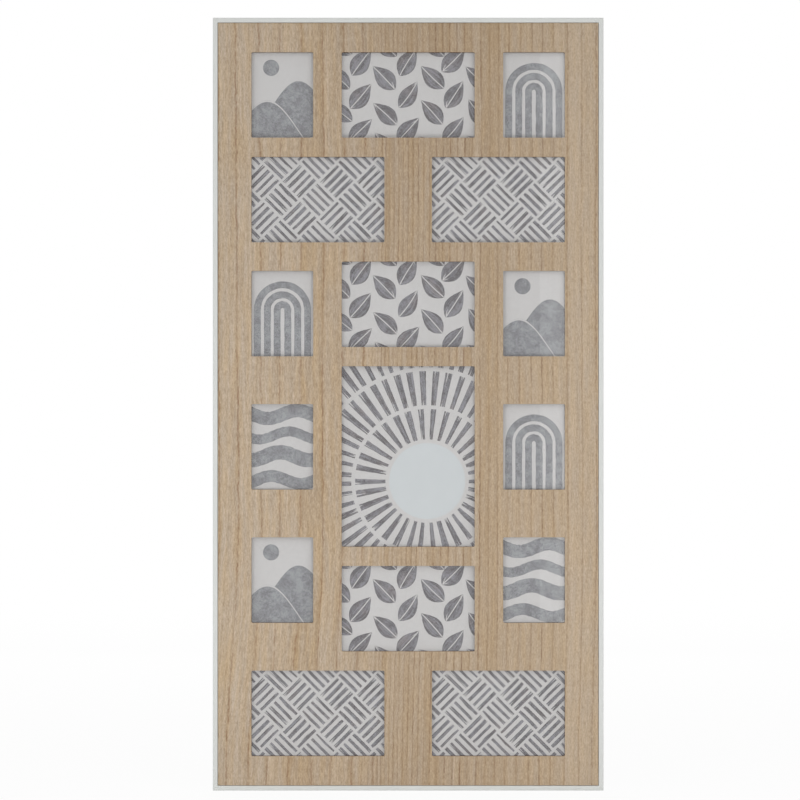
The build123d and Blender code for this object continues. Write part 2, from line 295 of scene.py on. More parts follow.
# Wood face
# Sliced veneer half a millimetre thick, laid upright and sealed matt. Left of the seam the growth
# rings are broad and warm; right of it they are straight, close and thin, and widen to the right.
seam, left_line, left_pitch = -35 * mm, -178.5 * mm, 22.1 * mm
right_pitch, widening = 3.3 * mm, 0.055
lean_top, left_lean, right_lean = 300 * mm, 14 * mm, 5 * mm
left_core, right_core_share, right_core_most = 1.3 * mm, 0.15, 1.15 * mm
left_halo, right_halo = 5.5 * mm, 1.7 * mm
dark_x, dark_near, dark_far, dark_depth = 25 * mm, 20 * mm, 160 * mm, 0.22
dark_low, dark_high, dark_share_low = 350 * mm, 780 * mm, 0.45
patch_x, patch_z, patch_half_width, patch_half_height = -196.5 * mm, 130 * mm, 17.54 * mm, 50 * mm
cool_cast, warm_cast = (0.975, 1.0, 1.07, 1), (1.05, 0.965, 0.80, 1)

veneer, tree, shader = new_material("sliced_veneer")
place = add(tree, "TexCoord").outputs["Object"]
axes = add(tree, "SeparateXYZ", {0: place}).outputs
across, up = axes[0], axes[2]
on_right = math(tree, "GREATER_THAN", across, seam)


def by_side(left, right):
    """One value left of the seam and another right of it."""
    return rescaled(tree, on_right, 0, 1, left, right)


def swayed(start, waves):
    """A place across the grain, moved sideways by noise of given counts, shift and sizes."""
    moved_x = start
    for count_across, count_along, shift, left_size, right_size in waves:
        values = {"Across": count_across, "Along": count_along, "Detail": 2.0, "Shift": shift}
        wave = math(tree, "SUBTRACT", placed(tree, streaks, place, values), 0.5)
        moved_x = math(tree, "MULTIPLY_ADD", wave, by_side(left_size, right_size), moved_x)
    return moved_x


# The grain leans near the foot of the panel, and slow noise makes it wavy. Finer noise makes the
# growth lines jagged as well.
lean = rescaled(tree, up, 0.0, lean_top, 1.0, 0.0, smooth=True)
lean = math(tree, "MULTIPLY", lean, by_side(left_lean, right_lean))
grain_x = swayed(math(tree, "ADD", across, lean), (
    (4.0, 2.2, 0.0, 10 * mm, 10 * mm),
    (30.0, 24.0, 0.0, 3.0 * mm, 1.0 * mm),
    (170.0, 70.0, 44.0, 0.9 * mm, 0.3 * mm),
))
line_x = swayed(grain_x, (
    (25.0, 75.0, 21.0, 3.2 * mm, 1.6 * mm),
    (60.0, 300.0, 33.0, 1.8 * mm, 1.2 * mm),
))
grain = add(tree, "CombineXYZ", {0: grain_x, 1: 0.0, 2: up}).outputs[0]

# Rings are counted from a line. The count is x / pitch on the left. On the right, where the pitch
# is p + k x, it is the logarithm of 1 + k x / p, divided by k. Slow noise makes the count uneven.
count_left = math(tree, "DIVIDE", math(tree, "SUBTRACT", line_x, left_line), left_pitch)
from_seam = math(tree, "MAXIMUM", math(tree, "SUBTRACT", line_x, seam), 0.0)
growth = math(tree, "MULTIPLY_ADD", from_seam, widening / right_pitch, 1.0)
count_right = math(tree, "DIVIDE", math(tree, "LOGARITHM", growth, np.e), widening)
pitch = by_side(left_pitch, math(tree, "MULTIPLY", growth, right_pitch))
uneven = placed(tree, streaks, grain, {"Across": 28.0, "Along": 0.5, "Detail": 0.0, "Shift": 3.0})
uneven = math(tree, "SUBTRACT", uneven, 0.5)
count = math(tree, "MULTIPLY_ADD", uneven, by_side(0.45, 0.9), by_side(count_left, count_right))
ring = math(tree, "FRACT", count)
gap = math(tree, "MULTIPLY", math(tree, "PINGPONG", count, 0.5), pitch)


def random_for(number):
    """A random value from 0 to 1 that stays the same for the same number."""
    return add(tree, "TexWhiteNoise", {"W": number}, noise_dimensions="1D").outputs["Value"]


# Each line has its own boldness, and each band of wood between two lines its own colour.
boldness = random_for(math(tree, "ROUND", count))
band = random_for(math(tree, "ADD", math(tree, "FLOOR", count), 0.5))
band = math(tree, "SUBTRACT", band, 0.5)

# A line is a row of dark vessels, broken into dashes, and it is widest on the left. The wood
# beside it, its halo, is darker, warmer and more flecked.
dashes = placed(tree, streaks, grain, {"Across": 60.0, "Along": 130.0, "Detail": 3.0})
fade = placed(tree, streaks, grain, {"Across": 45.0, "Along": 9.0, "Shift": 11.0})
right_core = math(tree, "MULTIPLY", pitch, right_core_share)
right_core = math(tree, "MINIMUM", right_core, right_core_most)
gap_share = math(tree, "DIVIDE", gap, by_side(left_core, right_core))
vessels = rescaled(tree, gap_share, 0.2, 1.0, 1.0, 0.0, smooth=True)
vessels = math(tree, "MULTIPLY", vessels, rescaled(tree, dashes, 0.38, 0.58, 0.25, 1.0))
boldness = rescaled(tree, boldness, 0, 1, by_side(0.80, 0.30), 0.90)
vessels = math(tree, "MULTIPLY", vessels, boldness)
vessels = math(tree, "MULTIPLY", vessels, rescaled(tree, fade, 0.30, 0.55, 0.4, 1.0))
gap_share = math(tree, "DIVIDE", gap, by_side(left_halo, right_halo))
halo = rescaled(tree, gap_share, 0.1, 1.0, 1.0, 0.0, smooth=True)
halo = math(tree, "MULTIPLY", halo, rescaled(tree, fade, 0.30, 0.65, 0.3, 1.0))

# Brightness of the wood: long fibres, broad stripes, flecks of three sizes, and a darker middle
tone = 0.5
for count_across, count_along, shift, left_size, right_size in (
    (430.0, 14.0, 0.0, 0.90, 0.65),
    (110.0, 4.0, 5.0, 0.38, 0.25),
    (460.0, 85.0, 9.0, 0.70, 0.40),
    (950.0, 165.0, 2.0, 1.35, 1.05),
    (900.0, 430.0, 17.0, 1.00, 1.00),
):
    values = {"Across": count_across, "Along": count_along, "Shift": shift}
    layer = math(tree, "SUBTRACT", placed(tree, streaks, grain, values), 0.5)
    tone = math(tree, "MULTIPLY_ADD", layer, by_side(left_size, right_size), tone)
off_middle = math(tree, "ABSOLUTE", math(tree, "SUBTRACT", across, dark_x))
middle = rescaled(tree, off_middle, dark_near, dark_far, dark_depth, 0.0, smooth=True)
higher = rescaled(tree, up, dark_low, dark_high, dark_share_low, 1.0, smooth=True)
tone = math(tree, "SUBTRACT", tone, math(tree, "MULTIPLY", middle, higher))
tone = math(tree, "MULTIPLY_ADD", band, 0.16, tone)
tone = math(tree, "MULTIPLY_ADD", ring, -0.06, tone)
tone = math(tree, "MULTIPLY_ADD", halo, -0.12, tone)
colour = mixed(tree, rescaled(tree, tone, 0.0, 1.0), srgb(156, 135, 109), srgb(201, 182, 157))

# Hue: streaks run from grey to orange. The wood by a line and a patch low on the left are warm.
tint = placed(tree, streaks, grain, {"Across": 170.0, "Along": 17.0, "Detail": 3.0, "Shift": 14.0})
tint = rescaled(tree, tint, 0.36, 0.64, -0.5, 0.5)
warm = math(tree, "MULTIPLY", tint, by_side(0.80, 0.55))
warm = math(tree, "MULTIPLY_ADD", halo, 0.28, warm)
warm = math(tree, "MULTIPLY_ADD", band, -0.38, warm)
patch = add(tree, "Mapping", {
    "Vector": place,
    "Location": (-patch_x / patch_half_width, 0, -patch_z / patch_half_height),
    "Scale": (1 / patch_half_width, 0, 1 / patch_half_height),
})
patch_gap = add(tree, "VectorMath", {0: patch.outputs[0]}, operation="LENGTH").outputs["Value"]
warm = math(tree, "ADD", warm, rescaled(tree, patch_gap, 0.2, 1.0, 0.6, 0.0, smooth=True))
cool_colour = mixed(tree, 1.0, colour, cool_cast, "MULTIPLY")
warm_colour = mixed(tree, 1.0, colour, warm_cast, "MULTIPLY")
colour = mixed(tree, rescaled(tree, warm, -0.5, 1.0), cool_colour, warm_colour)
line_colour = mixed(tree, on_right, srgb(134, 97, 66), srgb(116, 82, 56))
colour = mixed(tree, math(tree, "MULTIPLY", vessels, 0.85), colour, line_colour)
pores = placed(tree, streaks, grain, {"Across": 620.0, "Along": 120.0, "Detail": 1.0, "Shift": 7.0})
pores = rescaled(tree, pores, 0.62, 0.74, 0.0, 0.5)
pores = math(tree, "MULTIPLY", pores, rescaled(tree, halo, 0, 1, 0.5, 1.0))
colour = mixed(tree, pores, colour, srgb(118, 92, 66))
relief = math(tree, "SUBTRACT", tone, math(tree, "ADD", vessels, pores))
feed(tree, shader, {
    "Base Color": colour,
    "Roughness": rescaled(tree, tone, 0.0, 1.0, 0.66, 0.52),
    "Normal": bumped(tree, relief, 0.4, 0.08 * mm),
})
nodes["panel_veneer"].material_slots[0].material = veneer

# Glass
# Sixteen panes of clear float glass lie loose in the rebates against the lip of the openings.
# Shadow and diffuse rays pass straight through, so that the prints behind stay evenly lit.
glass_tint, straight_tint = (0.99, 0.995, 0.992, 1), (0.955, 0.96, 0.957, 1)

glass, tree, shader = new_material("float_glass")
feed(tree, shader, {
    "Base Color": glass_tint,
    "Roughness": 0.0,
    "IOR": 1.5,
    "Transmission Weight": 1.0,
})
path = add(tree, "LightPath").outputs
clear = math(tree, "MAXIMUM", path["Is Shadow Ray"], path["Is Diffuse Ray"])
straight = add(tree, "BsdfTransparent", {"Color": straight_tint})
either = add(tree, "MixShader", {0: clear, 1: shader.outputs[0], 2: straight.outputs[0]})
feed(tree, tree.nodes["Material Output"], {"Surface": either.outputs[0]})
for name in nodes:
    if name.startswith("pane_"):
        nodes[name].material_slots[0].material = glass

# Prints
# Sixteen matt paper inserts with plain hand-painted shapes in a thin grey ink, one behind each
# pane. The ink is a film a few hundredths of a millimetre thick on the paper.
paper_front, paper_back, ink_front, ink_back = -2.3 * mm, -2.0 * mm, -2.345 * mm, -2.29 * mm
pooled_from, pooled_to, dry_end = 0.2 * mm, 1.1 * mm, 11 * mm
paper_colour, brown_cast = srgb(201, 198, 198), (1.03, 0.93, 0.86, 1)

paper, tree, shader = new_material("matt_print_paper")
place = add(tree, "TexCoord").outputs["Object"]
cloud = placed(tree, streaks, place, {"Across": 300.0, "Along": 260.0, "Detail": 4.0})
colour = mixed(tree, rescaled(tree, cloud, 0.3, 0.7), srgb(199, 196, 196), srgb(204, 201, 201))
feed(tree, shader, {"Base Color": colour, "Roughness": 0.75})

# The wash group mottles ink: slow clouds, a finer grain, and a darker rim where the ink pooled.
wash, given, result = new_group("wash", {"Rim": 0.0, "Clouds": 1.0})
value = given["Rim"]
for count, part in ((65.0, 0.8), (190.0, 0.9), (520.0, 0.9)):
    cloud = add(wash, "TexNoise", {"Vector": given["Vector"], "Scale": count, "Detail": 3.0})
    size = math(wash, "MULTIPLY", given["Clouds"], part)
    centred = math(wash, "SUBTRACT", cloud.outputs["Fac"], 0.5)
    value = math(wash, "MULTIPLY_ADD", centred, size, value)
wash.links.new(value, result["Value"])


def ink_material(name, light, dark, clouds, bare):
    """Ink between two colours. `bare` is how much a dry brush shows of its hairs and the paper.

    The attribute stroke holds the distances along the stroke, across it and from its nearer end.
    """
    material, tree, shader = new_material(name)
    stroke = add(tree, "Attribute", attribute_name="stroke").outputs["Vector"]
    place = add(tree, "TexCoord").outputs["Object"]
    run = add(tree, "SeparateXYZ", {0: stroke}).outputs
    width = add(tree, "Attribute", attribute_name="half_width").outputs["Fac"]
    rim_gap = math(tree, "SUBTRACT", width, math(tree, "ABSOLUTE", run[1]))
    rim = rescaled(tree, rim_gap, pooled_from, pooled_to, 0.12, 0.0, smooth=True)
    mottle = placed(tree, wash, place, {"Rim": rim, "Clouds": clouds})
    bristle = add(tree, "CombineXYZ", {0: run[1], 1: 0.0, 2: run[0]}).outputs[0]
    hairs = placed(tree, streaks, bristle, {"Across": 480.0, "Along": 13.0, "Detail": 3.0})
    hairs = math(tree, "SUBTRACT", hairs, 0.5)
    tone = math(tree, "MULTIPLY_ADD", hairs, 2.0 * bare, mottle)
    colour = mixed(tree, rescaled(tree, tone, -0.30, 0.30), light, dark)
    # Thick spots of ink dry brown.
    thick = placed(tree, streaks, place, {"Across": 55.0, "Along": 55.0, "Shift": 4.0})
    thick = math(tree, "MULTIPLY", rescaled(tree, thick, 0.52, 0.68, 0.0, 0.75), bare)
    colour = mixed(tree, thick, colour, brown_cast, "MULTIPLY")
    # Bristles run dry near the ends of a stroke, so the threshold falls there.
    values = {"Across": 560.0, "Along": 9.0, "Detail": 1.0, "Shift": 8.0}
    strands = placed(tree, streaks, bristle, values)
    dry = rescaled(tree, run[2], 0.0, dry_end, 0.56, 0.69)
    showing = math(tree, "MULTIPLY", math(tree, "SUBTRACT", strands, dry), 20.0)
    showing = math(tree, "MULTIPLY", rescaled(tree, showing, 0.0, 1.0), bare)
    colour = mixed(tree, showing, colour, paper_colour)
    feed(tree, shader, {"Base Color": colour, "Roughness": 0.7})
    return material


flat_ink = ink_material("flat_grey_ink", srgb(152, 153, 157), srgb(117, 116, 121), 1.3, 0.0)
brushed_ink = ink_material("brushed_grey_ink", srgb(134, 132, 139), srgb(84, 79, 83), 1.0, 1.0)
pale_ink = ink_material("pale_grey_ink", srgb(206, 210, 213), srgb(199, 203, 206), 0.5, 0.0)

# The designs are in millimetres from the middle of the print. Each is a list of strokes, and a
# stroke is its ink and its two sides.
small_half_width, small_half_height = 37.4, 49.9
large_half_size = np.array([74.9, 99.9])


def ragged(count, size, seed):
    """Smooth random edge: a size times the mean of six sine waves of random counts and phases."""
    generator = np.random.default_rng(seed)
    s = np.linspace(0, 1, count)[:, None]
    waves = generator.integers(2, 16, 6)
    return size * np.sin(2 * np.pi * (waves * s + generator.random(6))).mean(1)


def along_line(line, half_width, seed, rough):
    """Two sides of a stroke: its middle line moved by half its width along the line's normal."""
    step = np.gradient(line, axis=0)
    normal = np.stack([-step[:, 1], step[:, 0]], -1) / np.linalg.norm(step, axis=1)[:, None]
    one = half_width + ragged(len(line), rough, 2 * seed + 1)
    other = half_width + ragged(len(line), rough, 2 * seed + 2)
    return line + normal * one[:, None], line - normal * other[:, None]


def arc(centre_x, centre_z, radius, first, last, count):
    """Points on a circle from one angle to another, in degrees."""
    t = np.radians(np.linspace(first, last, count))
    return np.stack([centre_x + radius * np.cos(t), centre_z + radius * np.sin(t)], -1)


def disc(centre_x, centre_z, radius, count=48):
    """Two sides of a disc, as upright chords of half length radius * sin(t) at radius * cos(t)."""
    t = np.linspace(0.03, np.pi - 0.03, count)
    x, half = centre_x + radius * np.cos(t), radius * np.sin(t)
    return np.stack([x, centre_z + half], -1), np.stack([x, centre_z - half], -1)


def scattered_leaves():
    """Leaves in a half-drop repeat, each two brush strokes on either side of a bare vein.

    A stroke runs from the vein out to width * sin(pi s^0.8) at the share s of the leaf's length,
    and the vein bends as bend * (s - 0.5)^2.
    """
    strokes = []
    length, width, vein, bend = 34.0, 9.2, 0.55, 5.0
    column_pitch, row_pitch, off_place, off_heading = 24.5, 36.0, 1.5, 9.0
    tilts = (-40.0, 44.0)
    s = np.linspace(0.0, 1.0, 26)
    for column in range(-4, 5):
        for row in range(-2, 3):
            seed = 12 * (column + 4) + row + 2
            wobble = np.random.default_rng(seed).uniform(-1, 1, 5)
            heading = np.radians(90 + tilts[column % 2] + off_heading * wobble[0])
            base_x = column_pitch * column + off_place * wobble[1]
            base_z = row_pitch * (row + 0.5 * (column % 2)) + off_place * wobble[2]
            run, bow = length * (s - 0.5), bend * wobble[3] * (s - 0.5) ** 2
            reach = (width + 0.8 * wobble[4]) * np.sin(np.pi * s**0.8)
            for half in (-1, 1):
                near = np.minimum(reach * 0.4, vein) * half
                far = (reach + ragged(len(s), 0.35, 3 * seed + half + 1)) * half
                sides = []
                for away in (near, far):
                    aside = bow + away
                    sides.append(np.stack([
                        base_x + run * np.cos(heading) - aside * np.sin(heading),
                        base_z + run * np.sin(heading) + aside * np.cos(heading),
                    ], -1))
                strokes.append((brushed_ink, *sides))
    return strokes


def basket_weave():
    """Square blocks of four bars set cornerwise, each block turned a quarter from the next.

    A point u, v of the level weave lies at (u - v, u + v) / sqrt(2) on the print.
    """
    strokes = []
    pitch, bars, clear, half_width, furthest = 6.9, 4, 1.9, 1.65, 80
    block = bars * pitch
    diagonal = np.sqrt(0.5)
    for column in range(-4, 5):
        for row in range(-4, 5):
            for bar in range(bars):
                seed = 100 + 40 * (column + 4) + 4 * (row + 4) + bar
                wobble = np.random.default_rng(seed).uniform(-1, 1, 3)
                along = np.linspace(-block / 2 + clear / 2, block / 2 - clear / 2, 14)
                aside = (bar + 0.5) * pitch - block / 2 + 0.25 * wobble[0] + 0.012 * wobble[1] * along
                u, v = (along, aside) if (column + row) % 2 else (aside, along)
                u, v = u + column * block, v + row * block
                line = np.stack([(u - v) * diagonal, (u + v) * diagonal], -1)
                if np.abs(line).min(0).max() < furthest:
                    sides = along_line(line, half_width + 0.35 * wobble[2], seed, 0.22)
                    strokes.append((brushed_ink, *sides))
    return strokes


def hills_and_sun():
    """A low hill before a higher one, which stands off by a thin bare line, and a round sun.

    The height of a hill is a cosine of x, less a small share of x^2.
    """
    bare_line = 1.8
    x = np.linspace(-small_half_width, small_half_width, 60)
    near = -22 + 15 * np.cos((x + 16) / 17) - 0.01 * (x + 16) ** 2
    far = 1.0 + 14 * np.cos((x - 17) / 15.5) - 0.012 * (x - 17) ** 2
    far = np.maximum(far, near + bare_line)
    strokes = [(flat_ink, *disc(-12, 29, 8.5))]
    for top, low in ((near, np.full_like(x, -small_half_height)), (far, near + bare_line - 0.1)):
        strokes.append((flat_ink, np.stack([x, top], -1), np.stack([x, low], -1)))
    return strokes


def nested_arches():
    """Arches one inside the other: a half circle on two upright legs."""
    strokes = []
    foot, shoulder, half_width = -49.5, 4.0, 3.6
    leg = np.linspace(foot, shoulder, 14)[:-1]
    for seed, radius in enumerate((26.5, 16.0, 5.6)):
        right = np.stack([np.full_like(leg, radius), leg], -1)
        left = np.stack([np.full_like(leg, -radius), leg[::-1]], -1)
        line = np.concatenate([right, arc(0, shoulder, radius, 0, 180, 30), left])
        strokes.append((flat_ink, *along_line(line, half_width, 300 + seed, 0.4)))
    return strokes


def level_waves():
    """Level bands that rise and fall: z = middle + amplitude * sin(2 pi (x + shift) / length)."""
    strokes = []
    amplitude, length, shift = 4.2, 62, 9
    x = np.linspace(-small_half_width, small_half_width, 60)
    for seed, (middle, half) in enumerate(((34, 7.0), (12, 5.2), (-10, 7.6), (-35, 6.2))):
        z = middle + amplitude * np.sin(2 * np.pi * (x + shift * seed) / length)
        strokes.append((flat_ink, *along_line(np.stack([x, z], -1), half, 320 + seed, 0.5)))
    return strokes


def sunburst():
    """Bars that point at a pale disc, in rings, each ring with enough bars to keep its pitch.

    The sides of a bar are rays from the disc's centre, cut where they leave the print.
    """
    centre, disc_radius, shortest = np.array([20.0, -26.0]), 40, 2
    strokes = [(pale_ink, *disc(*centre, disc_radius, 64))]
    for ring, (inner, outer, count) in enumerate(((44, 76, 34), (80, 116, 52), (120, 190, 72))):
        for bar in range(count):
            seed = 400 + 80 * ring + bar
            wobble = np.random.default_rng(seed).uniform(-1, 1, 2)
            angle = 2 * np.pi * (bar + 0.3 * ring + 0.06 * wobble[0]) / count
            spread = np.pi / count * (0.46 + 0.08 * wobble[1])
            sides = []
            for turned in (angle + spread, angle - spread):
                heading = np.array([np.cos(turned), np.sin(turned)])
                edge = ((np.sign(heading) * large_half_size - centre) / heading).min()
                reach = np.linspace(inner, max(min(outer, edge), inner + 0.1), 10)
                rough = ragged(10, 0.3, seed + len(sides))[:, None] * [-heading[1], heading[0]]
                sides.append(centre + reach[:, None] * heading + rough)
            if np.linalg.norm(sides[0][-1] - sides[0][0]) > shortest:
                strokes.append((brushed_ink, *sides))
    return strokes


def stroke_sizes(one, other):
    """Half the width of a stroke at each point, and the length of its middle line up to there."""
    half = np.linalg.norm(one - other, axis=1) / 2
    steps = np.linalg.norm(np.diff((one + other) / 2, axis=0), axis=1)
    return half, np.concatenate([[0], steps.cumsum()])


def ink_film(one, other, half, length, seed):
    """A flat bar of ink between two sides, with what its material reads at every point.

    The length along the stroke starts at a random place, so that no two strokes show the same
    brush marks.
    """
    nearer = np.minimum(length, length[-1] - length)
    sides = [(one, ink_front), (other, ink_front), (other, ink_back), (one, ink_back)]
    sections = np.stack([
        np.stack([s[:, 0] * mm, np.full(len(s), y), s[:, 1] * mm], -1) for s, y in sides
    ], 1)
    points, faces = tube(sections)
    start = np.random.default_rng(seed).uniform(0, 0.4)
    stroke = np.stack([
        np.repeat(length[:, None], 4, 1) * mm + start,
        half[:, None] * np.array([1, -1, -1, 1]) * mm,
        np.repeat(nearer[:, None], 4, 1) * mm,
    ], -1)
    return points, faces, stroke.reshape(-1, 3), np.repeat(half, 4) * mm


def print_piece(name, strokes):
    """Paper and its strokes as one mesh. The strokes are held inside the edges of the paper."""
    margin, shortest, thinnest = 0.05, 1.5, 0.3
    low, high = (np.array(corner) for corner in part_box("print_" + name))
    middle, half_size = (low + high) / 2, ((high - low) / 2 / mm)[[0, 2]]
    edge = rounded([(-1, -1), (1, -1), (1, 1), (-1, 1)], [0.004] * 4, steps=3) * half_size
    points, faces = tube(np.array([
        np.stack([edge[:, 0] * mm, np.full(len(edge), y), edge[:, 1] * mm], -1)
        for y in (paper_front, paper_back)
    ]))
    inks, limits, total = [flat_ink, brushed_ink, pale_ink], half_size - margin, len(points)
    groups, all_faces, slots_used = [points], list(faces), [0] * len(faces)
    stroke_data, widths = [np.zeros((total, 3))], [np.zeros(total)]
    for ink, one, other in strokes:
        one, other = np.clip(one, -limits, limits), np.clip(other, -limits, limits)
        half, length = stroke_sizes(one, other)
        if length[-1] < shortest or half.max() < thinnest:
            continue
        points, faces, stroke, width = ink_film(one, other, half, length, seed=total)
        groups.append(points)
        all_faces += [[corner + total for corner in f] for f in faces]
        slots_used += [1 + inks.index(ink)] * len(faces)
        stroke_data.append(stroke)
        widths.append(width)
        total += len(points)
    points = np.concatenate(groups) + [middle[0], 0, middle[2]]
    made = piece(
        "picture_" + name, points, all_faces, paper, "frame", ["print_" + name], 20
    )
    for ink in inks:
        made.data.materials.append(ink)
    made.data.polygons.foreach_set("material_index", slots_used)
    stroke = made.data.attributes.new("stroke", "FLOAT_VECTOR", "POINT")
    stroke.data.foreach_set("vector", np.concatenate(stroke_data).astype(np.float32).ravel())
    width = made.data.attributes.new("half_width", "FLOAT", "POINT")
    width.data.foreach_set("value", np.concatenate(widths).astype(np.float32))


for design, places in (
    (scattered_leaves, ("row1_centre", "row3_centre", "row5_centre")),
    (basket_weave, ("row2_left", "row2_right", "row6_left", "row6_right")),
    (hills_and_sun, ("row1_left", "row3_right", "row5_left")),
    (nested_arches, ("row1_right", "row3_left", "row4_right")),
    (level_waves, ("row4_left", "row5_right")),
    (sunburst, ("row4_centre",)),
):
    for name in places:
        print_piece(name, design())

# Filler sheet
# A sheet of brown corrugated board fills the well behind the prints and presses them forward.
# Its flutes run up the frame and show through the liner as faint ridges.
flute_pitch = 6.5 * mm

card, tree, shader = new_material("corrugated_board")
place = add(tree, "TexCoord").outputs["Object"]
speck = placed(tree, streaks, place, {"Across": 700.0, "Along": 250.0, "Detail": 4.0})
flute_x = add(tree, "SeparateXYZ", {0: place}).outputs[0]
flute = math(tree, "SINE", math(tree, "MULTIPLY", flute_x, 2 * np.pi / flute_pitch))
colour = mixed(tree, rescaled(tree, speck, 0.3, 0.7), srgb(158, 126, 92), srgb(186, 154, 118))
normal = bumped(tree, flute, 0.6, 0.1 * mm)
feed(tree, shader, {"Base Color": colour, "Roughness": 0.85, "Normal": normal})
nodes["filler_sheet"].material_slots[0].material = card

# Backboard
# Thin brown hardboard, smooth on its outer face, with a thumb notch at the foot. It drops into
# the well of the moulding and lies flush with the ledge, under the turn buttons.
hardboard, tree, shader = new_material("smooth_hardboard")
place = add(tree, "TexCoord").outputs["Object"]
fluff = placed(tree, streaks, place, {"Across": 420.0, "Along": 380.0, "Detail": 6.0})
blotch = placed(tree, streaks, place, {"Across": 14.0, "Along": 11.0, "Detail": 3.0})
colour = mixed(tree, rescaled(tree, fluff, 0.32, 0.68), srgb(104, 74, 50), srgb(146, 112, 82))
colour = mixed(tree, rescaled(tree, blotch, 0.35, 0.7, 0.0, 0.35), colour, srgb(112, 80, 55))
feed(tree, shader, {
    "Base Color": colour,
    "Roughness": rescaled(tree, blotch, 0.3, 0.7, 0.42, 0.55),
    "Normal": bumped(tree, fluff, 0.2, 0.05 * mm),
})
nodes["backboard"].material_slots[0].material = hardboard

# Corner nails
# Strips of plain steel rolled to a V, two across each mitre. They are pressed in flush from the
# back after gluing, and hold the corner shut.


def steel_material(name, light, dark, roughness):
    """Steel with rolling marks along one way and a dull cloud that changes its gloss."""
    material, tree, shader = new_material(name)
    place = add(tree, "TexCoord").outputs["Object"]
    cloud = placed(tree, streaks, place, {"Across": 350.0, "Along": 350.0, "Detail": 3.0})
    marks = placed(tree, streaks, place, {"Across": 4000.0, "Along": 300.0, "Detail": 1.0})
    feed(tree, shader, {
        "Base Color": mixed(tree, rescaled(tree, cloud, 0.3, 0.7), light, dark),
        "Roughness": rescaled(tree, cloud, 0.3, 0.7, roughness, roughness + 0.14),
        "Metallic": 1.0,
        "Normal": bumped(tree, marks, 0.15, 0.02 * mm),
    })
    return material


nail_steel = steel_material("plain_steel", srgb(150, 150, 152), srgb(120, 119, 120), 0.42)
nodes["corner_nails"].material_slots[0].material = nail_steel

# Turn buttons
# Twelve tongues pressed from bright zinc-plated steel. Each turns about a screw in the ledge and
# holds the backboard down; its tip is bent outwards, so that a finger can turn it.
zinc = steel_material("bright_zinc_plate", srgb(222, 223, 226), srgb(196, 198, 203), 0.26)
button_span, pivot_radius, tip_radius, bore_radius = 15 * mm, 5 * mm, 3.6 * mm, 1.58 * mm
button_front, button_thickness, bend_start, tip_rise = 4.2 * mm, 1.0 * mm, 13 * mm, 1.3 * mm
pressed_edge = 0.18 * mm


def button_outline(count):
    """Outline of two circles joined by their common tangents, with the pivot's circle first."""
    tangent = np.arccos((pivot_radius - tip_radius) / button_span)
    big = np.linspace(tangent, 2 * np.pi - tangent, count)
    small = np.linspace(-tangent, tangent, count)
    x = np.concatenate([pivot_radius * np.cos(big), button_span + tip_radius * np.cos(small)])
    z = np.concatenate([pivot_radius * np.sin(big), tip_radius * np.sin(small)])
    return x, z


def turn_button(pivot, towards):
    """A section carried round the button, from the rim of its bore to its outline and back.

    The outer edge of the section is two quarter rounds. Past the bend the sheet rises with x. The
    button then turns to point towards an angle in degrees.
    """
    x, z = button_outline(24)
    angle = np.arctan2(z, x)
    outer = np.stack([x, z], -1)
    inner = bore_radius * np.stack([np.cos(angle), np.sin(angle)], -1)
    outward = (outer - inner) / np.linalg.norm(outer - inner, axis=1)[:, None]
    quarter = np.linspace(0, np.pi / 2, 4)
    small, large = pressed_edge * (1 - np.sin(quarter)), pressed_edge * (1 - np.cos(quarter))
    inset = np.concatenate([small, large])
    height = np.concatenate([large, button_thickness - small])
    rim = outer[:, None] - outward[:, None] * inset[None, :, None]
    plan = np.concatenate([inner[:, None], rim, inner[:, None]], 1)
    level = np.concatenate([[0], height, [button_thickness]])
    past_bend = (plan[..., 0] - bend_start) / (button_span + tip_radius - bend_start)
    y = button_front + level + tip_rise * np.clip(past_bend, 0, None)
    cosine, sine = np.cos(np.radians(towards)), np.sin(np.radians(towards))
    across = plan[..., 0] * cosine - plan[..., 1] * sine
    upwards = plan[..., 0] * sine + plan[..., 1] * cosine
    points = np.stack([pivot[0] + across, y, pivot[2] + upwards], -1)
    return points.reshape(-1, 3), band_faces(*points.shape[:2], closed_rows=True)


joint_of = {joint["child"]: joint for joint in frame["joints"]}
headings = {"left": 0, "right": 180, "top": -90, "bottom": 90}
for name in [n for n in nodes if n.startswith("turn_button_") and n != "turn_button_screws"]:
    heading = headings[name.split("_")[2]]
    points, faces = turn_button(joint_of[name]["pos_m"], heading)
    piece(f"{name}_pressed", points, faces, zinc, name, [name], 30)

# Screws
# Zinc-plated pan-head screws with a cross recess, one in each turn button and each ring strap.
# They are driven from the back into pilot holes in the ledge.
screw_tip, screw_point, strap_screw_drop = -1.4 * mm, 0.05 * mm, 15.2 * mm
recess_half_width, recess_reach, recess_depth = 0.42 * mm, 1.5 * mm, 0.75 * mm
recess_side_slope, recess_end_slope = 0.12 * mm, 0.2 * mm


